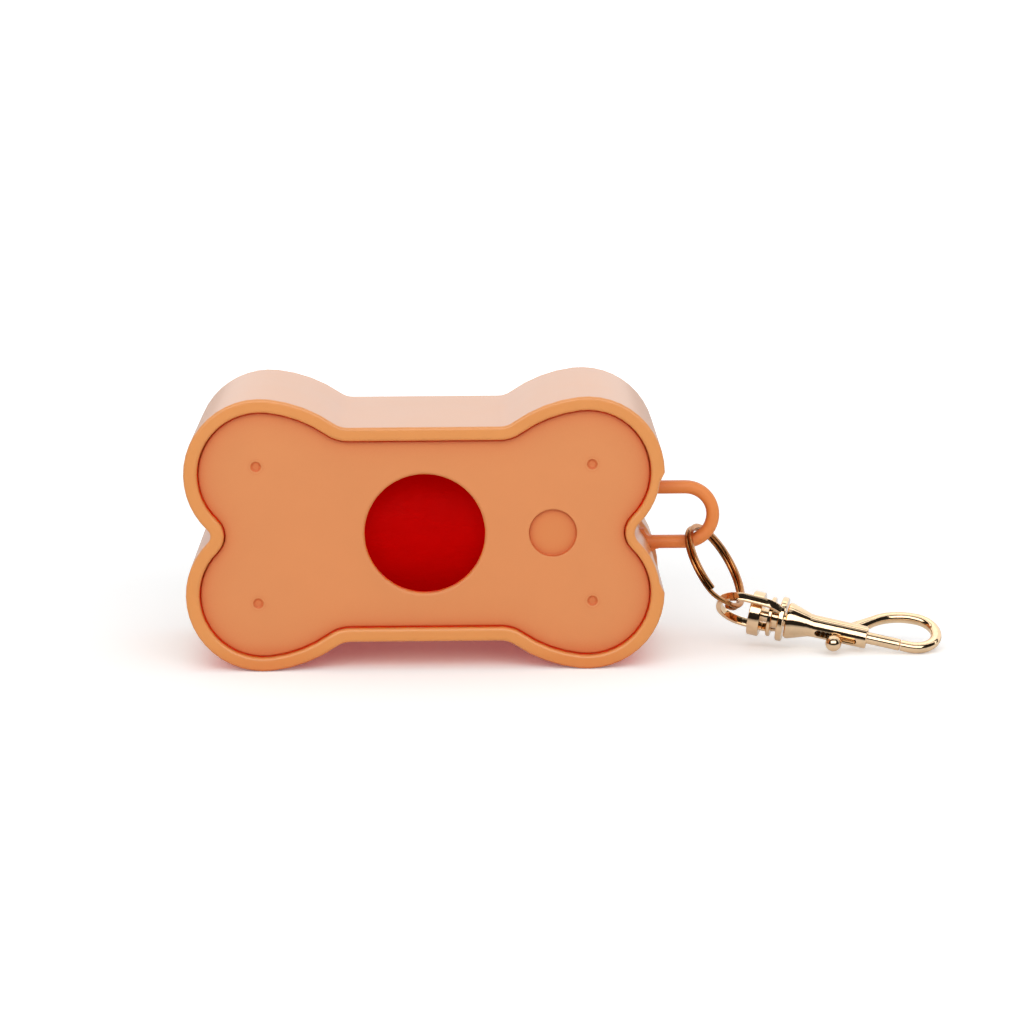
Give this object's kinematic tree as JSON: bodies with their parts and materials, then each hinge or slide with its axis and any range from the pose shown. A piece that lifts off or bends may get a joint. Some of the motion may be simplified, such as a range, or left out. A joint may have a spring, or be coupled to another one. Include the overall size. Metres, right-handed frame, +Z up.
{
  "type": "dog poop bag dispenser",
  "caption": "Bone-shaped dog poop bag dispenser with a roll behind a round hole, a lift-off cover, and a strap eye carrying a split ring and a swivel bolt snap.",
  "frame": {"origin": "centre of the case's flat back face", "axes": "+Y out of the back face, -Y the front with the dispensing hole, +X along the bone towards the strap eye and the snap, +Z up with the case standing on its two lower lobes"},
  "size_m": [0.1403, 0.038, 0.0506],
  "materials": {
    "case": "satin moulded",
    "cover": "fine satin moulded",
    "bags": "thin film wound tight",
    "cardboard": "bare cardboard",
    "ring_metal": "plated, polished",
    "snap_metal": "pale gold plated, polished",
    "spring_steel": "drawn wire"
  },
  "bodies": {
    "case": {"case_shell": "case"},
    "cover": {"front_cover": "cover"},
    "roll": {"bag_roll": "bags", "roll_core": "cardboard"},
    "ring": {"split_ring": "ring_metal"},
    "bail": {"clasp_eye": "snap_metal"},
    "clasp": {"swivel_pin": "snap_metal", "clasp_body": "snap_metal", "bolt_spring": "spring_steel"},
    "latch": {"bolt": "snap_metal", "thumb_knob": "snap_metal"}
  },
  "joints": [
    {"name": "cover_slide", "type": "slide", "parent": "case", "child": "cover", "axis": [0, -1, 0], "range_m": [0, 0.012]},
    {"name": "roll_spin", "type": "hinge", "parent": "case", "child": "roll", "pos_m": [0, -0.0184, -0.0011], "axis": [1, 0, 0], "continuous": true},
    {"name": "ring_swing", "type": "hinge", "parent": "case", "child": "ring", "pos_m": [0.0486, -0.0195, 0], "axis": [0, -1, 0], "range_deg": [-20, 100]},
    {"name": "bail_swing", "type": "hinge", "parent": "ring", "child": "bail", "pos_m": [0.05839, -0.02217, -0.0171], "axis": [-0.342, -0.9397, 0], "range_deg": [-45, 60]},
    {"name": "clasp_swivel", "type": "hinge", "parent": "bail", "child": "clasp", "pos_m": [0.06707, -0.02294, -0.01964], "axis": [0.9599, -0.2128, -0.1822], "continuous": true},
    {"name": "bolt_slide", "type": "slide", "parent": "clasp", "child": "latch", "axis": [-0.9599, 0.2128, 0.1822], "range_m": [0, 0.0032], "stiffness_N_per_m": 300, "springref_m": -0.003, "deforming": ["bolt_spring"]}
  ]
}
